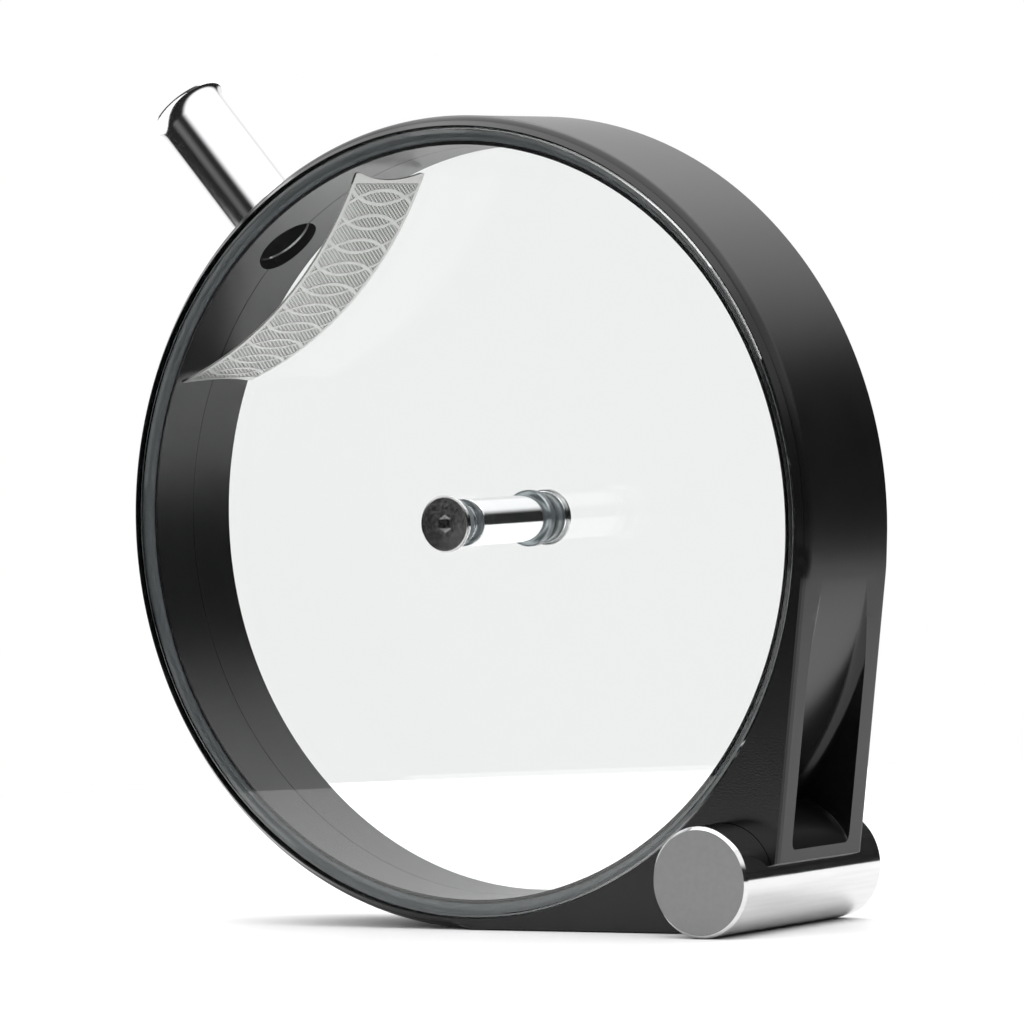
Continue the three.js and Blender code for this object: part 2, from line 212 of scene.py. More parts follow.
def mirrored(outline: Outline) -> list[tuple[float, float]]:
    """An outline's points turned over to the other side and taken backwards."""
    return [(radius, -height) for radius, height in reversed(outline)]


def keep_sector(tool: bpy.types.Object, centre: Vector, low: float, high: float) -> None:
    """Cut a tool down to the sector between two angles about a line along Y.

    Args:
        tool: The solid to cut.
        centre: A point on the line, in metres.
        low: The sector's first angle, in radians.
        high: The sector's last angle, in radians.
    """
    for angle, sign in ((low, -1.0), (high, 1.0)):
        choose(tool)
        bpy.ops.object.mode_set(mode="EDIT")
        bpy.ops.mesh.select_all(action="SELECT")
        normal = (-math.sin(angle) * sign, 0.0, math.cos(angle) * sign)
        bpy.ops.mesh.bisect(plane_co=tuple(centre), plane_no=normal, use_fill=True,
                            clear_outer=True)
        bpy.ops.object.mode_set(mode="OBJECT")
    mend(tool)


def apply_modifier(piece: bpy.types.Object, kind: str, **settings: object) -> None:
    """Add one modifier with its settings and apply it.

    Args:
        piece: The piece.
        kind: The modifier's type.
        settings: Its settings by name.
    """
    choose(piece)
    modifier = piece.modifiers.new("step", kind)
    for key, value in settings.items():
        setattr(modifier, key, value)
    bpy.ops.object.modifier_apply(modifier=modifier.name)


def combine(piece: bpy.types.Object, tool: bpy.types.Object,
            operation: str = "DIFFERENCE") -> bpy.types.Object:
    """Cut one solid with another, or join them, and throw the tool away.

    Args:
        piece: The solid that stays.
        tool: The solid that is used up.
        operation: DIFFERENCE, UNION or INTERSECT.

    Returns:
        The piece.
    """
    apply_modifier(piece, "BOOLEAN", object=tool, operation=operation, solver="EXACT")
    bpy.data.objects.remove(tool, do_unlink=True)
    return piece


def reshape(piece: bpy.types.Object, rule: Callable[[Vector], Vector]) -> None:
    """Move every point of a piece by one rule.

    Args:
        piece: The piece.
        rule: Gives a point's new place from its old one, in metres.
    """
    for vertex in piece.data.vertices:
        vertex.co = rule(vertex.co.copy())
    piece.data.update()


def fit(piece: bpy.types.Object, body: Body, nodes: Sequence[str],
        finish: "Finish", angle: float = SMOOTH_ANGLE) -> None:
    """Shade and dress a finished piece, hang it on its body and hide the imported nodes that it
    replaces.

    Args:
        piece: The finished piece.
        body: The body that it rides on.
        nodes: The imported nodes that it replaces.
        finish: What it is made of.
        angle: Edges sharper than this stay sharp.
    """
    smooth(piece, angle)
    piece.data.materials.clear()
    piece.data.materials.append(finish.material())
    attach(piece, body.value)
    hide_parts(*nodes)
    log.info("%s: %d faces, on %s", piece.name, len(piece.data.polygons), body.value)


# ---- Finishes --------------------------------------------------------------------------------


class Recipe:
    """A material being mixed: its shader and the nodes that feed it."""

    def __init__(self, name: str, **sockets: object) -> None:
        """Start a material with constants on its shader.

        Args:
            name: The material's name.
            sockets: Values for the shader's own sockets.
        """
        self.material = bpy.data.materials.new(name)
        self.material.use_nodes = True
        self.tree = self.material.node_tree
        self.shader = self.tree.nodes["Principled BSDF"]
        for key, value in sockets.items():
            self.shader.inputs[key.replace("_", " ")].default_value = value

    def add(self, kind: str, **inputs: object) -> bpy.types.Node:
        """Add a node with values on its inputs.

        Args:
            kind: The node's type.
            inputs: Values by input name.

        Returns:
            The node.
        """
        node = self.tree.nodes.new(kind)
        for key, value in inputs.items():
            node.inputs[key.replace("_", " ")].default_value = value
        return node

    def link(self, out: bpy.types.NodeSocket, into: bpy.types.NodeSocket) -> None:
        """Join two sockets."""
        self.tree.links.new(out, into)

    def place(self, stretch: tuple[float, float, float] = (1, 1, 1),
              centre: Vector = Vector((0, 0, 0))) -> bpy.types.NodeSocket:
        """Object coordinates, centred and stretched.

        Args:
            stretch: How far a pattern shrinks along each axis.
            centre: The place, in metres, that becomes zero.

        Returns:
            The socket that carries them.
        """
        coords = self.add("ShaderNodeTexCoord")
        mapping = self.add("ShaderNodeMapping", Scale=stretch,
                           Location=tuple(-c * s for c, s in zip(centre, stretch)))
        self.link(coords.outputs["Object"], mapping.inputs["Vector"])
        return mapping.outputs["Vector"]

    def noise(self, at: bpy.types.NodeSocket, scale: float,
              detail: float = 4.0) -> bpy.types.NodeSocket:
        """Cloudy noise of so many grains a metre.

        Args:
            at: Where the noise is read.
            scale: Grains in a metre.
            detail: How many finer layers it has.

        Returns:
            The socket that carries it.
        """
        node = self.add("ShaderNodeTexNoise", Scale=scale, Detail=detail)
        self.link(at, node.inputs["Vector"])
        return node.outputs["Fac"]

    def ranged(self, value: bpy.types.NodeSocket, low: float, high: float,
               into: str, start: float = 0.3, end: float = 0.7) -> None:
        """Feed a shader socket with a value mapped between two limits.

        Args:
            value: What is mapped.
            low: The result at start.
            high: The result at end.
            into: The shader socket's name.
            start: The value that gives low.
            end: The value that gives high.
        """
        node = self.add("ShaderNodeMapRange", From_Min=start, From_Max=end, To_Min=low,
                        To_Max=high)
        self.link(value, node.inputs["Value"])
        self.link(node.outputs["Result"], self.shader.inputs[into])

    def tint(self, value: bpy.types.NodeSocket, low: tuple[float, ...],
             high: tuple[float, ...]) -> None:
        """Colour the surface between two shades.

        Args:
            value: What picks the shade, from 0 to 1.
            low: The shade at the low end.
            high: The shade at the high end.
        """
        ramp = self.add("ShaderNodeValToRGB")
        ramp.color_ramp.elements[0].position = 0.35
        ramp.color_ramp.elements[0].color = (*low, 1)
        ramp.color_ramp.elements[1].position = 0.65
        ramp.color_ramp.elements[1].color = (*high, 1)
        self.link(value, ramp.inputs["Fac"])
        self.link(ramp.outputs["Color"], self.shader.inputs["Base Color"])

    def bump(self, value: bpy.types.NodeSocket, depth: float, strength: float = 1.0) -> None:
        """Raise the surface by a depth in metres.

        Args:
            value: The height, from 0 to 1.
            depth: How far 1 stands proud.
            strength: How strongly it shows.
        """
        node = self.add("ShaderNodeBump", Distance=depth, Strength=strength)
        self.link(value, node.inputs["Height"])
        self.link(node.outputs["Normal"], self.shader.inputs["Normal"])


@dataclass(frozen=True)
class Finish:
    """What a piece is made of."""

    name: str

    def material(self) -> bpy.types.Material:
        """The finish's material, mixed once."""
        return bpy.data.materials.get(self.name) or self.mix()

    def mix(self) -> bpy.types.Material:
        """Mix the material."""
        raise NotImplementedError


@dataclass(frozen=True)
class MouldedPlastic(Finish):
    """Black glass-filled plastic: smooth faces, a fine grain on its outer wall."""

    shade: float = 0.004
    grain: float = 2600.0

    def mix(self) -> bpy.types.Material:
        """Mix near-black plastic whose outer wall is grained.

        Returns:
            The material.
        """
        recipe = Recipe(self.name, IOR=1.5, Specular_IOR_Level=0.38)
        at = recipe.place()
        low, high = self.shade * 0.8, self.shade * 1.3
        recipe.tint(recipe.noise(at, 90), (low, low, low), (high, high, high))
        coords = recipe.add("ShaderNodeTexCoord")
        parts = recipe.add("ShaderNodeSeparateXYZ")
        recipe.link(coords.outputs["Normal"], parts.inputs[0])
        size = recipe.add("ShaderNodeMath")
        size.operation = "ABSOLUTE"
        recipe.link(parts.outputs["Y"], size.inputs[0])
        recipe.ranged(size.outputs[0], 0.3, 0.2, "Roughness", 0.3, 0.9)
        recipe.bump(recipe.noise(at, self.grain, 2.0), 0.00003, 0.35)
        return recipe.material


@dataclass(frozen=True)
class ClearGlass(Finish):
    """Clear flat glass with the faintest green."""

    def mix(self) -> bpy.types.Material:
        """Mix clear glass.

        Returns:
            The material.
        """
        recipe = Recipe(self.name, IOR=1.45, Transmission_Weight=1.0, Roughness=0.0)
        at = recipe.place()
        recipe.tint(recipe.noise(at, 12), (0.985, 0.995, 0.99), (0.99, 0.998, 0.995))
        return recipe.material


@dataclass(frozen=True)
class PaleSilicone(Finish):
    """Translucent bluish silicone, satin all over."""

    low: tuple[float, float, float] = (0.62, 0.68, 0.70)
    high: tuple[float, float, float] = (0.70, 0.76, 0.78)

    def mix(self) -> bpy.types.Material:
        """Mix soft silicone.

        Returns:
            The material.
        """
        recipe = Recipe(self.name, IOR=1.42, Transmission_Weight=0.8, Roughness=0.3)
        at = recipe.place()
        recipe.tint(recipe.noise(at, 160), self.low, self.high)
        recipe.bump(recipe.noise(at, 3000, 2.0), 0.00001, 0.4)
        return recipe.material


@dataclass(frozen=True)
class Steel(Finish):
    """Stainless steel, from mirror polish to a brushed face.

    low and high are the limits of its roughness, stretch draws its fine lines out along an axis,
    and rings puts turning marks about a centre in metres.
    """

    low: float = 0.05
    high: float = 0.1
    shade: float = 0.78
    lines: float = 1400.0
    stretch: tuple[float, float, float] = (1.0, 1.0, 1.0)
    depth: float = 0.000002
    rings: tuple[float, float, float] | None = None

    def mix(self) -> bpy.types.Material:
        """Mix steel with its fine lines or turning marks.

        Returns:
            The material.
        """
        recipe = Recipe(self.name, Metallic=1.0)
        at = recipe.place(self.stretch)
        mark = recipe.noise(at, self.lines, 3.0)
        dark = self.shade * 0.93
        recipe.tint(mark, (dark, dark, dark * 1.01), (self.shade,) * 3)
        recipe.ranged(mark, self.low, self.high, "Roughness")
        if self.rings:
            wave = recipe.add("ShaderNodeTexWave", Scale=900.0, Distortion=0.4)
            wave.wave_type = "RINGS"
            wave.rings_direction = "Y"
            recipe.link(recipe.place(centre=Vector(self.rings)), wave.inputs["Vector"])
            mark = wave.outputs["Fac"]
        recipe.bump(mark, self.depth, 0.5)
        return recipe.material


PLASTIC = MouldedPlastic("moulded_plastic")
GLASS = ClearGlass("clear_glass")
SILICONE = PaleSilicone("pale_silicone")
PLUG_SILICONE = PaleSilicone("smoke_silicone", (0.10, 0.11, 0.11), (0.14, 0.15, 0.15))
POST_STEEL = Steel("post_steel", stretch=(1, 0.05, 1))
HEAD_STEEL = Steel("head_steel", 0.12, 0.2, 0.5, depth=0.000006, rings=tuple(CENTRE))
SPOUT_STEEL = Steel("spout_steel", 0.04, 0.09, 0.82)
BAR_STEEL = Steel("bar_steel", 0.06, 0.14, 0.7, stretch=(1, 0.04, 1))
# Steel for the bar's end faces: the rougher, finer-lined brushing is real, but the base colour of 0.3
# is painted shade that makes the ends darker than the bar's side
BAR_END_STEEL_PAINTED_SHADE = Steel("bar_end_steel_painted_shade", 0.3, 0.42, 0.3, 900.0, (1, 1, 1), 0.000004)
FILTER_STEEL = Steel("filter_steel", 0.28, 0.4, 0.72)
FASTENER_STEEL = Steel("fastener_steel", 0.2, 0.3, 0.45)


# ---- Pieces ----------------------------------------------------------------------------------


@dataclass
class Foot:
    """The steel bar under the ring and the two screws that hold it."""

    radius: float = 10.5
    length: float = 49.5
    chamfer: float = 0.6
    screw_turn: float = 69.0
    screw_spacing: float = 11.0
    socket: float = 12.8

    @property
    def centre(self) -> Vector:
        """The bar's middle."""
        return middle("foot_bar")

    @property
    def diagonal(self) -> float:
        """The angle from the ring's centre to the bar's."""
        return math.atan2(self.centre.z - RING_CENTRE.z, self.centre.x)

    def axis(self) -> Axis:
        """The bar's axis, along Y."""
        return Axis(self.centre, Vector((0, 1, 0)))

    def screw_axis(self, y: float) -> Axis:
        """The axis of one screw, from the bar's axis outwards."""
        turn = self.diagonal + math.pi + math.radians(self.screw_turn)
        return Axis(self.centre + Vector((0, y, 0)), Vector((math.cos(turn), 0, math.sin(turn))))

    def build(self) -> None:
        """Make and dress the bar and its screws."""
        end = self.length / 2
        face = self.radius - self.chamfer
        outline = [(face - 1.0, -end), (face, -end), (self.radius - 0.15, self.chamfer * 0.8 - end),
                   (self.radius, self.chamfer * 1.3 - end)]
        outline += mirrored(outline)
        bar = turned("foot_bar_steel", self.axis(), outline, 160)
        for side in Side:
            y = side.outward * self.screw_spacing / 2
            hole = [(1.6, 3.0), (1.6, 9.6), (2.0, 11.4)]
            combine(bar, turned("bar_hole", self.screw_axis(y), hole, 32))
        fit(bar, Body.VESSEL, ["foot_bar"], BAR_STEEL)
        # The flat end faces take the darker steel, so painted shade sits on the ends beside their
        # real rougher brushing
        bar.data.materials.append(BAR_END_STEEL_PAINTED_SHADE.material())
        for face in bar.data.polygons:
            face.material_index = int(abs(face.normal.y) > 0.9)
        for side in Side:
            self.screw(side)

    def screw(self, side: Side) -> None:
        """Make and dress one screw.

        Args:
            side: Which of the two it is.
        """
        axis = self.screw_axis(side.outward * self.screw_spacing / 2)
        top = self.socket - 0.6
        outline = [(1.1, top - 8.0), (1.4, top - 7.7), (1.4, top - 1.4), (2.35, top - 1.4),
                   (2.5, top - 1.25), (2.5, top - 0.3), (2.3, top), (1.2, top)]
        screw = turned(f"foot_screw_{side.label}_steel", axis, outline, 48)
        recess = [(0.92, top - 0.9), (0.92, top + 1)]
        combine(screw, turned("recess", axis, recess, 6))
        fit(screw, Body.VESSEL, [f"foot_screw_{side.label}"], FASTENER_STEEL)


@dataclass
class Spout:
    """The steel pouring tube and its O-ring."""

    radius: float = 7.0
    bore: float = 6.2
    end: float = 108.9
    root: float = 74.3
    flare_out: float = 1.15
    flare_length: float = 3.2
    o_ring_radius: float = 7.85
    o_ring_height: float = 76.0
    o_ring_section: float = 0.55

    def axis(self, foot: Foot) -> Axis:
        """The spout's axis, opposite the foot."""
        turn = foot.diagonal + math.pi
        return Axis(RING_CENTRE, Vector((math.cos(turn), 0, math.sin(turn))))

    def lip(self, radius: float, steps: int = 14) -> list[tuple[float, float]]:
        """Points up the flared end of a wall of this radius.

        Args:
            radius: The wall's radius below the flare.
            steps: How many points the flare has.

        Returns:
            Points of radius and height.
        """
        turns = [math.pi / 2 * step / steps for step in range(steps + 1)]
        return [(radius + self.flare_out * (1 - math.cos(t)),
                 self.end - self.flare_length * (1 - math.sin(t))) for t in turns]

    def build(self, foot: Foot) -> None:
        """Make and dress the tube and its O-ring.

        Args:
            foot: The bar that the spout lies opposite.
        """
        axis = self.axis(foot)
        outline = [(self.bore, self.root + 0.3), (self.bore + 0.25, self.root),
                   (self.radius - 0.2, self.root), (self.radius, self.root + 0.2)]
        outline += self.lip(self.radius) + list(reversed(self.lip(self.bore)))
        tube = turned("spout_tube_steel", axis, outline, 128, ring=True)
        fit(tube, Body.VESSEL, ["spout_tube"], SPOUT_STEEL)
        section = [2 * math.pi * step / 16 for step in range(16)]
        circle = [(self.o_ring_radius + self.o_ring_section * math.cos(t),
                   self.o_ring_height + self.o_ring_section * math.sin(t)) for t in section]
        seal = turned("spout_o_ring", axis, circle, 64, ring=True)
        fit(seal, Body.VESSEL, ["spout_seal"], SILICONE)


@dataclass
class Stopper:
    """The silicone plug in the spout's mouth and its steel knob."""

    top: float = 105.3
    length: float = 9.0
    wide: float = 5.9
    stem: float = 1.3
    knob: float = 2.6
    knob_top: float = 110.2

    def build(self, axis: Axis) -> None:
        """Make and dress the plug and knob.

        Args:
            axis: The spout's axis.
        """
        low = self.top - self.length
        wide = self.wide
        outline = [(wide - 1.2, low), (wide - 0.8, low + 0.3)]
        for step in range(4):
            height = low + 1.0 + step * 1.9
            outline += [(wide - 0.35, height), (wide, height + 0.5), (wide, height + 0.9),
                        (wide - 0.35, height + 1.3)]
        outline += [(wide - 0.1, self.top - 0.4), (wide - 0.4, self.top), (self.stem + 0.6, self.top),
                    (self.stem + 0.1, self.top - 0.3), (self.stem + 0.1, self.top - 5.0)]
        plug = turned("stopper_plug_silicone", axis, outline, 64)
        fit(plug, Body.STOPPER, ["stopper_plug"], PLUG_SILICONE)
        neck = (self.top + 0.3 + self.knob_top) / 2
        knob_outline = [(self.stem - 0.2, self.top - 4.7), (self.stem, self.top - 4.5),
                        (self.stem, neck - 1.0), (self.stem + 0.4, neck - 0.5),
                        (self.knob - 0.2, neck), (self.knob, neck + 0.3),
                        (self.knob, self.knob_top - 0.8), (self.knob - 0.25, self.knob_top - 0.2),
                        (self.knob - 0.7, self.knob_top), (1.2, self.knob_top),
                        (0.9, self.knob_top - 0.25)]
        knob = turned("stopper_knob_steel", axis, knob_outline, 48)
        fit(knob, Body.STOPPER, ["stopper_knob"], SPOUT_STEEL)


@dataclass
class RingMoulding:
    """The black ring with its rims, seal lips, cheeks and socket."""

    segments: int = 288
    side_normal: float = -8.3
    face: float = 15.4
    bore: float = 72.4
    rebate: float = 75.9
    lip: float = 73.0
    lip_top: float = 12.2
    groove: float = 10.6
    cheek: float = 10.4
    fillet: float = 2.4
    mouth: float = 63.5
    ease: float = 4.0
    parting: float = 0.07
    edge: float = 0.12
    clearance: float = 0.08

    def levels(self) -> list[tuple[float, float, float]]:
        """Rows of Y, how far the ring is set in there, and how far the corner is.

        Returns:
            The rows, from the front face to the rear one.
        """
        f = self.face
        return [(-f, 1.9, 0.45), (0.35 - f, 1.66, 0.12), (1.2 - f, 1.05, 0.0),
                (1.4 - f, 1.1, 0.0), (1.6 - f, 0.82, 0.0), (2.0 - f, 0.48, 0.0),
                (2.4 - f, 0.2, 0.0), (3.0 - f, 0.0, 0.0), (f - 0.8, 0.0, 0.0),
                (f - 0.45, 0.15, 0.0), (f - 0.15, 0.45, 0.15), (f, 0.8, 0.45)]

    def push(self, angle: float) -> tuple[float, float]:
        """How far the corner reaches past the ring at an angle.

        Args:
            angle: The angle in the ring's plane, from -180 to 180 degrees.

        Returns:
            The factor on the ring's radius, and 1 in the corner falling to 0 on the ring.
        """
        gap = max(-90 - angle, angle - self.side_normal, 0.0)
        share = max(0.0, 1 - gap / self.ease)
        if gap > 0:
            return 1.0, share * share * (3 - 2 * share)
        near = max(math.cos(math.radians(angle + 90)),
                   math.cos(math.radians(angle - self.side_normal)))
        return 1 / near, 1.0

    def blank(self) -> bpy.types.Object:
        """The moulding's outside, solid all through.

        Returns:
            The blank.
        """
        levels = self.levels()
        rows = [(RING_RADIUS, y) for y, _, _ in levels]
        axis = side_axis(Side.REAR)
        piece = turned("ring_moulding", axis, rows, self.segments)

        def shape(point: Vector) -> Vector:
            """A point's place on the ring's edge or the corner's, set in for its level."""
            y = point.y / MM
            x, z = point.x / MM, point.z / MM - RING_RADIUS
            level = min(levels, key=lambda row: abs(row[0] - y))
            factor, share = self.push(math.degrees(math.atan2(z, x)))
            inset = level[1] + (level[2] - level[1]) * share
            scale = factor * (RING_RADIUS - inset) / math.hypot(x, z)
            return Vector((x * scale * MM, point.y, (z * scale + RING_RADIUS) * MM))

        reshape(piece, shape)
        return piece

    def hollow(self) -> bpy.types.Object:
        """The space inside the ring: bore, lips, grooves and rebates.

        Returns:
            The tool to cut with.
        """
        half = [(self.rebate, self.face + 2), (self.rebate, self.groove), (self.lip, self.groove),
                (self.lip, self.lip_top - self.edge), (self.lip - self.edge, self.lip_top),
                (self.bore + self.edge, self.lip_top), (self.bore, self.lip_top - self.edge),
                (self.bore, 0.1)]
        outline = half + [(self.bore + self.parting, 0.0)] + mirrored(half)
        return turned("hollow", side_axis(Side.REAR), outline, self.segments)

    def pocket(self, foot: Foot) -> bpy.types.Object:
        """The space between the cheeks, round the ring and the bar's socket.

        Args:
            foot: The bar.

        Returns:
            The tool to cut with.
        """
        inner = RING_RADIUS + 0.01
        steps = [math.pi / 2 * step / 8 for step in range(9)]
        curve = [(inner + self.fillet * (1 - math.cos(t)),
                  self.cheek - self.fillet * (1 - math.sin(t))) for t in steps]
        outline = curve + [(112.0, self.cheek), (112.0, -self.cheek)]
        outline += mirrored(curve)
        tool = turned("pocket", side_axis(Side.REAR), outline, self.segments, ring=True)
        low = math.radians(-89.2)
        high = math.radians(self.side_normal - 0.6)
        keep_sector(tool, CENTRE, low, high)
        wide = foot.socket
        flare = [(wide + 1.0, -self.cheek - 1.0), (wide + 1.0, -self.cheek),
                 (wide + 0.3, 0.3 - self.cheek), (wide, 1.0 - self.cheek)]
        spool = flare + mirrored(flare)
        return combine(tool, turned("spool", foot.axis(), spool, 96))

    def mouth_wedge(self, foot: Foot) -> bpy.types.Object:
        """The open side of the socket, where the bar shows.

        Args:
            foot: The bar.

        Returns:
            The tool to cut with.
        """
        tool = turned("mouth", foot.axis(), [(26.0, -self.face - 1), (26.0, self.face + 1)], 120)
        half = math.radians(self.mouth)
        keep_sector(tool, foot.centre * MM, foot.diagonal - half, foot.diagonal + half)
        return tool

    def build(self, foot: Foot, spout: Spout) -> None:
        """Make and dress the moulding.

        Args:
            foot: The bar in its socket.
            spout: The tube in its hole.
        """
        piece = self.blank()
        combine(piece, self.hollow())
        combine(piece, self.pocket(foot))
        bar_hole = [(foot.radius + self.clearance, -20.0), (foot.radius + self.clearance, 20.0)]
        combine(piece, turned("bar_hole", foot.axis(), bar_hole, 120))
        combine(piece, self.mouth_wedge(foot))
        seat = [(6.9, 71.0), (6.5, 72.9), (6.5, 74.0), (7.06, 74.0), (7.06, 75.2), (8.5, 75.2),
                (8.5, 76.8), (7.06, 76.8), (7.06, 77.6), (7.7, 78.3), (7.7, 84.0)]
        combine(piece, turned("seat", spout.axis(foot), seat, 96))
        for side in Side:
            screw = foot.screw_axis(side.outward * foot.screw_spacing / 2)
            hole = [(1.6, 9.0), (1.6, 10.75), (2.75, 10.75), (2.75, 18.0)]
            combine(piece, turned("hole", screw, hole, 40))
        fit(piece, Body.VESSEL, ["frame"], PLASTIC)


@dataclass
class PaneSet:
    """One side's glass and all that seals and clamps it."""

    side: Side
    pane_radius: float = 75.6
    pane_inner: float = 12.5
    pane_outer: float = 15.5
    bevel: float = 1.0
    hole: float = 3.8
    thread: float = 0.8

    def bodies(self) -> tuple[Body, Body, Body]:
        """The bodies of the glass, the washer and the screw.

        Returns:
            The three bodies.
        """
        if self.side is Side.FRONT:
            return Body.COVER, Body.SEAT, Body.CLAMP
        return Body.VESSEL, Body.VESSEL, Body.VESSEL

    def glass(self) -> bpy.types.Object:
        """The pane with its ground edge.

        Returns:
            The pane.
        """
        low, high, bevel = self.pane_inner, self.pane_outer, self.bevel
        outline = [(self.hole, low), (self.pane_radius - bevel, low),
                   (self.pane_radius - bevel * 0.25, low + bevel * 0.4),
                   (self.pane_radius, low + bevel), (self.pane_radius, high - bevel),
                   (self.pane_radius - bevel * 0.25, high - bevel * 0.4),
                   (self.pane_radius - bevel, high), (self.hole, high)]
        return turned(f"{self.side.label}_glass", side_axis(self.side), outline, 288, ring=True)

    def seal(self) -> bpy.types.Object:
        """The round seal under the pane, crowned with a thin lip.

        Returns:
            The seal.
        """
        outline = [(73.1, 10.75), (75.7, 10.75), (75.8, 11.2), (75.7, 12.1), (75.2, 12.44),
                   (74.5, 12.3), (73.8, 12.44), (73.2, 12.1), (73.1, 11.5)]
        return turned(f"{self.side.label}_pane_seal", side_axis(self.side), outline, 288, ring=True)

    def build(self) -> None:
        """Make and dress every piece of the side."""
        cover, seat, clamp = self.bodies()
        label, axis = self.side.label, side_axis(self.side)
        front = self.side is Side.FRONT
        glass = self.glass()
        fit(glass, cover, [f"{label}_pane"], GLASS, FLAT_ANGLE)
        seal = self.seal()
        fit(seal, Body.VESSEL, [f"{label}_seal"], SILICONE)
        radius, low = (4.5, 11.25) if front else (5.5, 10.65)
        outline = [(2.8, low), (radius - 0.2, low), (radius, low + 0.25), (radius, 12.2),
                   (radius - 0.25, 12.46), (2.8, 12.46)]
        gasket = turned(f"{label}_inner_gasket", axis, outline, 64, ring=True)
        fit(gasket, Body.VESSEL, [f"{label}_post_gasket"], SILICONE)
        outline = [(2.7, 12.5), (3.45, 12.5), (3.6, 15.5), (4.5, 15.6), (4.75, 15.9),
                   (4.75, 17.2), (4.5, 17.6), (2.7, 17.6)]
        grommet = turned(f"{label}_grommet", axis, outline, 64, ring=True)
        fit(grommet, cover, [f"{label}_head_gasket"], SILICONE)
        outline = [(2.7, 17.65), (5.0, 17.65), (5.1, 17.75), (5.1, 18.15), (5.0, 18.3),
                   (2.7, 18.3)]
        ring = turned(f"{label}_washer_steel", axis, outline, 72, ring=True)
        fit(ring, seat, [f"{label}_washer"], POST_STEEL)
        screw = self.screw(axis)
        fit(screw, clamp, [f"{label}_screw"], HEAD_STEEL)

    def screw(self, axis: Axis) -> bpy.types.Object:
        """The clamping screw: threaded shank, thin turned head and hex recess.

        Args:
            axis: The line that it is turned about.

        Returns:
            The screw.
        """
        outline = [(1.9, 5.4), (2.2, 5.7)]
        height = 5.9
        while height < 17.0:
            outline += [(2.2, height), (2.5, height + 0.3), (2.5, height + 0.4),
                        (2.2, height + 0.7)]
            height += self.thread
        outline += [(2.5, 17.6), (2.5, 18.35), (5.35, 18.35), (5.5, 18.5), (5.5, 18.9),
                    (5.42, 19.1), (5.2, 19.2), (5.0, 19.16), (2.6, 19.12), (2.3, 19.05)]
        screw = turned(f"{self.side.label}_screw_steel", axis, outline, 96)
        recess = [(1.73, 17.2), (1.73, 20.0)]
        combine(screw, turned("recess", axis, recess, 6))
        return screw


@dataclass
class CentrePost:
    """The polished post between the two panes."""

    radius: float = 4.55
    low: float = -11.0
    high: float = 10.4

    def build(self) -> None:
        """Make and dress the post."""
        r, low, high = self.radius, self.low, self.high
        outline = [(2.8, low), (r - 0.35, low), (r - 0.1, low + 0.1), (r, low + 0.35),
                   (r, high - 0.35), (r - 0.1, high - 0.1), (r - 0.35, high), (2.8, high)]
        post = turned("centre_post_steel", side_axis(Side.REAR), outline, 96, ring=True)
        fit(post, Body.VESSEL, ["centre_post"], POST_STEEL)


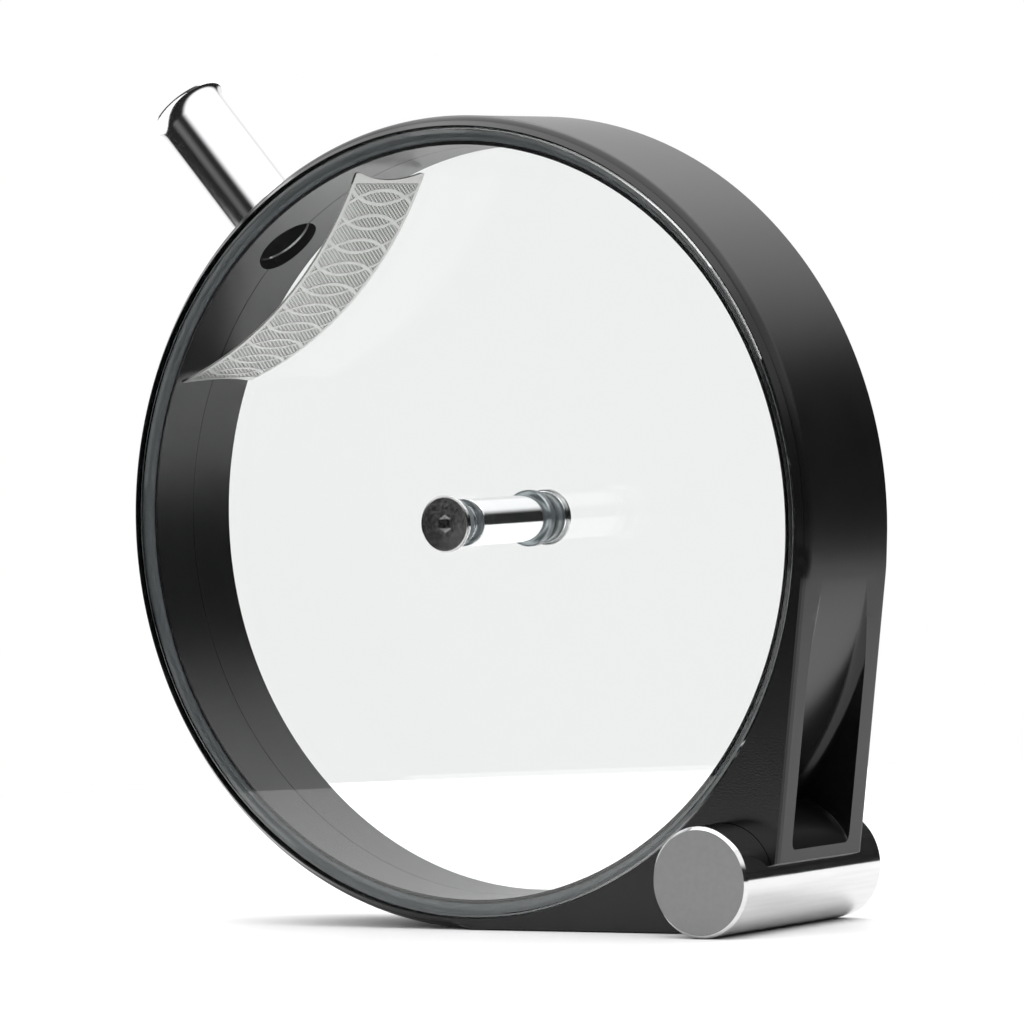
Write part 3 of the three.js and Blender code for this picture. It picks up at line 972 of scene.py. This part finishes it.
@dataclass
class Filter:
    """The arched strip of perforated steel behind the spout, with its pattern of arcs."""

    axis_turn: float = 132.17
    centre: float = 135.01
    radius: float = 75.61
    half_width: float = 11.7
    border: float = 1.0
    pitch: float = 0.75
    web: float = 0.13
    mesh_half: float = 27.9
    corner: float = 30.4
    dip: float = 28.6
    arc_radius: float = 21.5
    line: float = 0.7
    first: float = -26.4
    spacing: float = 5.53
    arcs: int = 10
    sheet: float = 0.3

    def curl(self, point: Vector) -> Vector:
        """Bend a point of the flat strip onto the arch.

        Args:
            point: A place on the flat strip, in metres.

        Returns:
            Its place on the arch.
        """
        u, v, w = point / MM
        turn = math.radians(self.axis_turn)
        along = Vector((math.cos(turn), 0, math.sin(turn)))
        across = Vector((math.sin(turn), 0, -math.cos(turn)))
        angle = u / self.radius
        reach = self.radius + w
        spot = RING_CENTRE + along * (self.centre - reach * math.cos(angle))
        spot += across * (reach * math.sin(angle))
        return (spot + Vector((0, v, 0))) * MM

    def lattice(self) -> bpy.types.Object:
        """The flat perforated sheet: one six-sided cell, copied in staggered rows.

        Returns:
            The sheet.
        """
        cell = self.pitch / math.sqrt(3)
        row = self.pitch * math.sqrt(3) / 2
        across = int(2 * (self.mesh_half + 0.3) / self.pitch)
        rows = int(2 * (self.half_width - self.border * 0.6) / (2 * row)) + 1
        start = (-across * self.pitch / 2 * MM, -(rows - 0.5) * row * MM, 0)
        bpy.ops.object.select_all(action="DESELECT")
        bpy.ops.mesh.primitive_circle_add(vertices=6, radius=cell * MM, fill_type="NGON",
                                          location=start)
        piece = adopt("filter_sheet")
        bpy.ops.object.mode_set(mode="EDIT")
        bpy.ops.mesh.select_all(action="SELECT")
        bpy.ops.mesh.inset(thickness=self.web * MM)
        bpy.ops.mesh.delete(type="FACE")
        bpy.ops.object.mode_set(mode="OBJECT")
        apply_modifier(piece, "ARRAY", count=across, use_relative_offset=False,
                       use_constant_offset=True, constant_offset_displace=(self.pitch * MM, 0, 0))
        shift = (self.pitch / 2 * MM, row * MM, 0)
        apply_modifier(piece, "ARRAY", count=2, use_relative_offset=False,
                       use_constant_offset=True, constant_offset_displace=shift)
        apply_modifier(piece, "ARRAY", count=rows, use_relative_offset=False,
                       use_constant_offset=True, constant_offset_displace=(0, 2 * row * MM, 0))
        mend(piece)
        apply_modifier(piece, "SOLIDIFY", thickness=self.sheet * MM, offset=0.0)
        return piece

    def ribbon(self, name: str, low: Callable[[float], float], high: Callable[[float], float],
               half: float, thickness: float) -> bpy.types.Object:
        """A flat solid strip across the sheet, between two curves.

        Args:
            name: The strip's name.
            low: Its lower edge along the sheet at each place across it.
            high: Its upper edge.
            half: Half its length across the sheet.
            thickness: How thick it is.

        Returns:
            The strip.
        """
        bpy.ops.object.select_all(action="DESELECT")
        bpy.ops.mesh.primitive_grid_add(x_subdivisions=1, y_subdivisions=24, size=2)
        piece = adopt(name)

        def shape(point: Vector) -> Vector:
            """A grid point's place between the two curves."""
            v = point.y * half
            u = low(v) if point.x < 0 else high(v)
            return Vector((u * MM, v * MM, 0))

        reshape(piece, shape)
        apply_modifier(piece, "SOLIDIFY", thickness=thickness * MM, offset=0.0)
        return piece

    def build(self) -> None:
        """Make, bend and dress the filter."""
        parts = [self.lattice()]
        inside = self.half_width - self.border * 0.5
        for index in range(self.arcs):
            for sign, thick in ((1.0, 0.40), (-1.0, 0.39)):
                apex = sign * self.first + sign * self.spacing * index
                parts.append(self.arc(apex, sign, inside, thick))
        for sign in (-1.0, 1.0):
            parts.append(self.end(sign))
            parts.append(self.edge(sign))
        bpy.ops.object.select_all(action="DESELECT")
        for part in parts:
            part.select_set(True)
        bpy.context.view_layer.objects.active = parts[0]
        bpy.ops.object.join()
        piece = parts[0]
        reshape(piece, self.curl)
        fit(piece, Body.VESSEL, ["filter"], FILTER_STEEL)

    def arc(self, apex: float, sign: float, half: float, thick: float) -> bpy.types.Object:
        """One curved line of the pattern.

        Args:
            apex: Where it crosses the middle of the strip.
            sign: Which way it bows.
            half: Half its length across the strip.
            thick: How thick it is.

        Returns:
            The line.
        """
        def bowed(v: float) -> float:
            """The line's place along the strip at a place across it."""
            bow = self.arc_radius - math.sqrt(self.arc_radius ** 2 - v * v)
            return max(-self.mesh_half, min(self.mesh_half, apex + sign * bow))

        return self.ribbon("arc", lambda v: bowed(v) - self.line / 2,
                           lambda v: bowed(v) + self.line / 2, half, thick)

    def end(self, sign: float) -> bpy.types.Object:
        """The plain hollowed end of the strip.

        Args:
            sign: Which end it is.

        Returns:
            The end.
        """
        def outer(v: float) -> float:
            """The hollowed outline, with its corners rounded."""
            share = abs(v) / self.half_width
            return sign * (self.dip + (self.corner - self.dip) * share ** 2 - 0.5 * share ** 24)

        def inner(v: float) -> float:
            """The straight line where the holes begin."""
            return sign * self.mesh_half

        low, high = (outer, inner) if sign < 0 else (inner, outer)
        return self.ribbon("end", low, high, self.half_width, 0.4)

    def edge(self, sign: float) -> bpy.types.Object:
        """The plain border along one side.

        Args:
            sign: Which side it is.

        Returns:
            The border.
        """
        piece = self.ribbon("edge", lambda v: -self.half_width, lambda v: self.border
                            - self.half_width, self.corner - 0.4, 0.4)

        def turn(point: Vector) -> Vector:
            """A point's place once the strip is laid lengthways."""
            return Vector((point.y, sign * point.x, point.z))

        reshape(piece, turn)
        mend(piece)
        return piece


# ---- Studio ----------------------------------------------------------------------------------


@dataclass
class Studio:
    """Pale floor, soft light and the camera."""

    distance: float = 1.3643
    lens: float = 248.26
    shift: tuple[float, float] = (0.011635, 0.007991)
    floor_radius: float = 0.48
    sky: float = 1.3

    def camera(self) -> None:
        """Stand the camera in front and to the right, at the height of the ring's centre."""
        data = bpy.data.cameras.new("camera")
        data.sensor_width = 36.0
        data.lens = self.lens
        data.shift_x, data.shift_y = self.shift
        data.clip_end = 20.0
        camera = bpy.data.objects.new("camera", data)
        bpy.context.scene.collection.objects.link(camera)
        back = Vector((0.5539, -0.8323, 0.0230)).normalized()
        right = Vector((0.8324, 0.5531, -0.0342))
        up = back.cross(right).normalized()
        right = up.cross(back).normalized()
        turn = Matrix((right, up, back)).transposed().to_4x4()
        camera.matrix_world = Matrix.Translation(CENTRE + back * self.distance) @ turn
        bpy.context.scene.camera = camera

    def floor(self) -> None:
        """A round white table top."""
        bpy.ops.object.select_all(action="DESELECT")
        bpy.ops.mesh.primitive_circle_add(vertices=128, radius=self.floor_radius,
                                          fill_type="NGON", location=(0, 0, -0.00005))
        piece = adopt("table_top")
        recipe = Recipe("table_white", Roughness=0.6)
        recipe.tint(recipe.noise(recipe.place(), 30), (0.93, 0.93, 0.93), (0.95, 0.95, 0.95))
        piece.data.materials.append(recipe.material)

    def lamp(self) -> None:
        """A broad soft light overhead."""
        data = bpy.data.lights.new("overhead", "AREA")
        data.shape = "RECTANGLE"
        data.size, data.size_y = 1.4, 1.5
        data.energy = self.sky * math.pi * data.size * data.size_y
        lamp = bpy.data.objects.new("overhead", data)
        lamp.location = (0, 0.25, 0.9)
        bpy.context.scene.collection.objects.link(lamp)

    def card(self) -> None:
        """A black card behind the object, which only reflections see."""
        bpy.ops.object.select_all(action="DESELECT")
        bpy.ops.mesh.primitive_plane_add(size=1, location=(0.24, 0.27, 0.1425),
                                         rotation=(math.pi / 2, 0, 0))
        bpy.context.active_object.scale = (0.52, 0.171, 1)
        piece = adopt("black_card")
        recipe = Recipe("card_black", Roughness=0.9)
        recipe.tint(recipe.noise(recipe.place(), 20), (0.004,) * 3, (0.006,) * 3)
        piece.data.materials.append(recipe.material)
        piece.visible_camera = False
        piece.visible_transmission = False
        piece.visible_shadow = False
        piece.visible_diffuse = False

    def world(self) -> None:
        """White behind the object and overhead, dark elsewhere, with a glow at the front left."""
        world = bpy.data.worlds.new("studio")
        world.use_nodes = True
        bpy.context.scene.world = world
        tree = world.node_tree
        background = tree.nodes["Background"]
        background.inputs["Color"].default_value = (1, 1, 1, 1)
        coords = tree.nodes.new("ShaderNodeTexCoord")

        def patch(toward: tuple[float, float, float], start: float, end: float, low: float,
                  high: float) -> bpy.types.NodeSocket:
            """Brightness that rises smoothly towards one direction.

            Args:
                toward: The direction.
                start: The closeness where it begins to rise.
                end: The closeness where it is full.
                low: Its value far away.
                high: Its full value.

            Returns:
                The socket that carries it.
            """
            near = tree.nodes.new("ShaderNodeVectorMath")
            near.operation = "DOT_PRODUCT"
            near.inputs[1].default_value = Vector(toward).normalized()
            tree.links.new(coords.outputs["Generated"], near.inputs[0])
            step = tree.nodes.new("ShaderNodeMapRange")
            step.interpolation_type = "SMOOTHSTEP"
            for key, value in (("From Min", start), ("From Max", end), ("To Min", low),
                               ("To Max", high)):
                step.inputs[key].default_value = value
            tree.links.new(near.outputs["Value"], step.inputs["Value"])
            return step.outputs["Result"]

        def mixed(kind: str, one: bpy.types.NodeSocket,
                  other: bpy.types.NodeSocket) -> bpy.types.NodeSocket:
            """Two brightnesses put together.

            Args:
                kind: How they are put together.
                one: The first.
                other: The second.

            Returns:
                The socket that carries the result.
            """
            node = tree.nodes.new("ShaderNodeMath")
            node.operation = kind
            tree.links.new(one, node.inputs[0])
            tree.links.new(other, node.inputs[1])
            return node.outputs[0]

        backdrop = patch((-0.554, 0.832, 0.0), 0.72, 0.86, 0.02, 1.0)
        above = patch((0.0, 0.0, 1.0), 0.28, 0.5, 0.0, self.sky)
        glow = patch((-0.75, -0.6, 0.28), 0.9, 1.0, 0.0, 0.45)
        path = tree.nodes.new("ShaderNodeLightPath")
        total = mixed("ADD", mixed("MAXIMUM", backdrop, above), glow)
        seen = path.outputs["Is Camera Ray"]
        inverse = tree.nodes.new("ShaderNodeMath")
        inverse.operation = "SUBTRACT"
        inverse.inputs[0].default_value = 1.0
        tree.links.new(seen, inverse.inputs[1])
        lit = mixed("MULTIPLY", total, inverse.outputs[0])
        tree.links.new(mixed("ADD", lit, seen), background.inputs["Strength"])

    def build(self) -> None:
        """Set the whole studio up."""
        bpy.context.scene.view_settings.view_transform = "Standard"
        self.camera()
        self.floor()
        self.lamp()
        self.card()
        self.world()


def main() -> None:
    """Build every sub-assembly in order."""
    logging.basicConfig(level=logging.INFO, format="%(message)s")
    Studio().build()
    foot = Foot()
    spout = Spout()
    RingMoulding().build(foot, spout)
    for side in Side:
        PaneSet(side).build()
    CentrePost().build()
    Filter().build()
    spout.build(foot)
    Stopper().build(spout.axis(foot))
    foot.build()
    bpy.ops.object.select_all(action="DESELECT")


if __name__ == "__main__":
    main()
